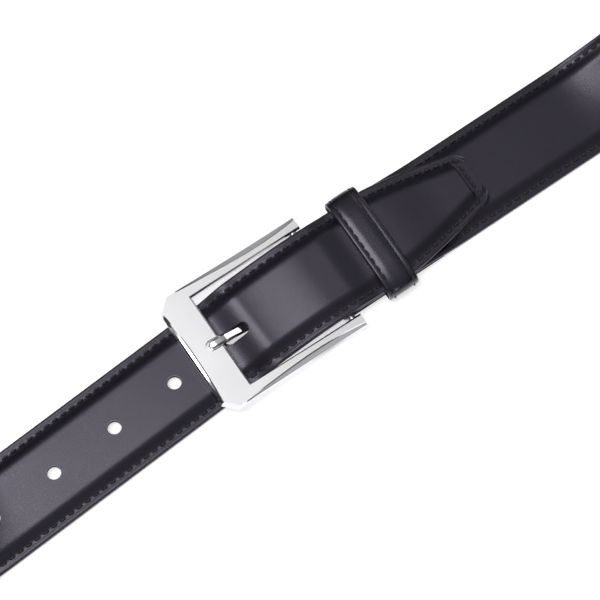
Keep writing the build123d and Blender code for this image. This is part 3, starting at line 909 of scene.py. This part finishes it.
def prong_mesh():
    points, faces = [], []
    dense = []
    for (x0, z0, w0, h0), (x1, z1, w1, h1) in zip(PRONG, PRONG[1:]):
        for t in (0, 0.5):
            rise = smooth(t) * 0.5 + t * 0.5
            dense.append((mix(x0, x1, t), mix(z0, z1, rise), mix(w0, w1, t), mix(h0, h1, t)))
    dense.append(PRONG[-1])
    for i, (x, z, w, h) in enumerate(dense):
        before, after = dense[max(0, i - 1)], dense[min(len(dense) - 1, i + 1)]
        along = Vector((after[0] - before[0], 0, after[1] - before[1])).normalized()
        up = Vector((along.z, 0, -along.x))
        for u, v in FACETS:
            points.append((Vector((x, 0, z)) + Vector((0, u * w, 0)) + up * (v * h)) * MM)
    m = len(FACETS)
    for i in range(len(dense) - 1):
        for k in range(m):
            j = (k + 1) % m
            faces.append((i * m + k, i * m + j, (i + 1) * m + j, (i + 1) * m + k))
    faces += [tuple(range(m - 1, -1, -1)), tuple(range((len(dense) - 1) * m, len(dense) * m))]
    shank = bpy.data.meshes.new("shank")
    shank.from_pydata(points, [], faces)
    outward(shank)
    return shank


def joined_mesh(a, b_mesh, name):
    one = bpy.data.objects.new(name, a)
    two = bpy.data.objects.new(name + "_b", b_mesh)
    for o in (one, two):
        bpy.context.scene.collection.objects.link(o)
    step = one.modifiers.new("join", "BOOLEAN")
    step.operation, step.solver, step.object = "UNION", "EXACT", two
    result = bpy.data.meshes.new_from_object(one.evaluated_get(bpy.context.evaluated_depsgraph_get()))
    bpy.data.objects.remove(one)
    bpy.data.objects.remove(two)
    return result


prong_body = joined_mesh(prong_mesh(), bar_cylinder("eye", 2.6, 2.0), "prong_look")
prong_body = cut_with(prong_body, [bar_cylinder("bore", 1.56, 4.0)], "prong_look")
prong = finish_mesh("prong_look", prong_body, polished_metal, 20)
soft = prong.modifiers.new("soft_edges", "BEVEL")
soft.width = 0.12 * MM
soft.segments = 2
soft.limit_method = "ANGLE"
soft.angle_limit = math.radians(22)

# %% [markdown]
# The heel bar, the keeper's staple and the needle row of the fold already have the right shape
# in the frame, so they only need a finish.

# %% Carried-over pieces
for node, finish in (("heel_bar", plain_steel), ("keeper_staple", plain_steel), ("fold_thread", waxed_thread)):
    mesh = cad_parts[node].data
    mesh.materials.clear()
    mesh.materials.append(finish)

# %% [markdown]
# The keeper, the buckle frame and the prong are tied to the body that carries them. For the strap, each point
# gets a share of the buckle's swing from its place, between the part that lies still and the buckle; the
# shares are printed, not stored.

# %% Riding, and the strap's shares of the swing
for obj in (strap_face, strap_lining, strap_core, face_thread, bobbin_thread, keeper_face, keeper_lining,
            keeper_thread_front, keeper_thread_rear, buckle_frame, prong):
    obj.data.transform(Matrix.Translation(HOME))


def follow_at(x, y):
    """Share of the buckle's swing that reaches the strap at a place on its front, 0 to 1."""
    if y > 60.0 or x > 3.0:
        return 0.0
    if x < -48.0:
        return smooth((x + 125.0) / 72.0)
    return 1.0 - smooth((x + 7.0) / 10.0)


def lies_on_prong(point):
    """The tail rides up on the prong, while the wrapped heel below it stays with the strap."""
    x, y = (point.x - HOME.x) / MM, (point.y - HOME.y) / MM
    if x > -2.9 and point.z < 5.45 * MM:
        return 0.0
    return follow_at(x, y)


def flex(obj):
    """Work out each point's share of the buckle's swing and print the largest."""
    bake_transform(obj)
    values = [lies_on_prong(v.co) for v in obj.data.vertices]
    print(obj.name, "follows up to", round(max(values), 2))


BENDING = (
    (strap_face, "strap_face", "face_leather"),
    (strap_lining, "strap_lining", "lining_leather"),
    (strap_core, "strap_core", "core_board"),
    (face_thread, "strap_thread", "thread"),
    (bobbin_thread, "strap_bobbin_thread", "thread"),
)
for obj, node, slot in BENDING:
    flex(obj)
    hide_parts(node)

RIDING = (
    (keeper_face, "keeper_face", "face_leather", "strap"),
    (keeper_lining, "keeper_lining", "lining_leather", "strap"),
    (keeper_thread_front, "keeper_thread_front", "thread", "strap"),
    (keeper_thread_rear, "keeper_thread_rear", "thread", "strap"),
    (buckle_frame, "buckle_frame", "buckle_metal", "buckle"),
    (prong, "prong", "buckle_metal", "tongue"),
)
for obj, node, slot, body in RIDING:
    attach(obj, body)
    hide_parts(node)

# %% [markdown]
# A plain pale floor and large soft lamps, as for a catalogue picture.

# %% Floor and lamps
floor_mesh = bpy.data.meshes.new("floor")
floor_mesh.from_pydata([(-3, -3, 0), (3, -3, 0), (3, 3, 0), (-3, 3, 0)], [], [(0, 1, 2, 3)])
floor = bpy.data.objects.new("floor", floor_mesh)
bpy.context.scene.collection.objects.link(floor)
paper = Finish("pale_floor")
paper.set(Base_Color=(0.93, 0.93, 0.94, 1), Roughness=0.9, Emission_Color=(1, 1, 1, 1), Emission_Strength=0.55)
floor_mesh.materials.append(paper.material)
floor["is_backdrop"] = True


def softbox(name, place, aim, size, power):
    lamp = bpy.data.lights.new(name, "AREA")
    lamp.shape = "RECTANGLE"
    lamp.size, lamp.size_y = size
    lamp.energy = power
    obj = bpy.data.objects.new(name, lamp)
    obj.location = HOME + Vector(place)
    obj.rotation_euler = (Vector(aim) - Vector(place)).to_track_quat("-Z", "Y").to_euler()
    bpy.context.scene.collection.objects.link(obj)


softbox("key", (-0.30, 0.26, 1.25), (-0.10, 0, 0), (0.52, 0.7), 7.5)
softbox("far", (1.25, 0.75, 0.9), (0, 0, 0), (0.9, 0.5), 3.5)
softbox("near", (-0.2, -1.5, 0.75), (0, 0, 0), (0.6, 0.25), 3)


# %% [markdown]
# The surroundings are white overhead and darker towards the horizon.

# %% Studio surroundings
def studio_world():
    """White overhead and dim near the horizon, so that polished edges show a dark line."""
    world = bpy.data.worlds.new("studio")
    world.use_nodes = True
    tree = world.node_tree
    where = tree.nodes.new("ShaderNodeTexCoord")
    split = tree.nodes.new("ShaderNodeSeparateXYZ")
    tree.links.new(where.outputs["Generated"], split.inputs[0])
    height = Wire(tree, split.outputs["Z"])
    strength = height.ramp(0.45, 0.97) * 0.44 + 0.07
    tree.links.new(strength.socket, tree.nodes["Background"].inputs["Strength"])
    tree.nodes["Background"].inputs["Color"].default_value = (1, 1, 1, 1)
    bpy.context.scene.world = world


studio_world()
bpy.context.scene.view_settings.view_transform = "Standard"

# %% [markdown]
# The camera looks down at the buckle through a long lens.

# %% Camera
lens_mm, azimuth, elevation, distance = 197.9, -34.2, 75.86, 1.156
look_at = HOME + Vector((-0.01085, -0.00203, 0.0))
a, e = math.radians(azimuth), math.radians(elevation)
back = Vector((math.sin(a) * math.cos(e), -math.cos(a) * math.cos(e), math.sin(e)))
camera_data = bpy.data.cameras.new("camera")
camera_data.lens, camera_data.sensor_width, camera_data.clip_start = lens_mm, 36.0, 0.01
camera = bpy.data.objects.new("camera", camera_data)
camera.location = look_at + back * distance
camera.rotation_euler = back.to_track_quat("Z", "Y").to_euler()
bpy.context.scene.collection.objects.link(camera)
bpy.context.scene.camera = camera

# %% [markdown]
# The box of the finished pieces is compared with the frame's.

now_low, now_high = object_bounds()
grown = [round((n - c) * 1000, 2) for n, c in zip((*now_low, *now_high), (*cad_low, *cad_high))]
print("box grew by mm", grown)
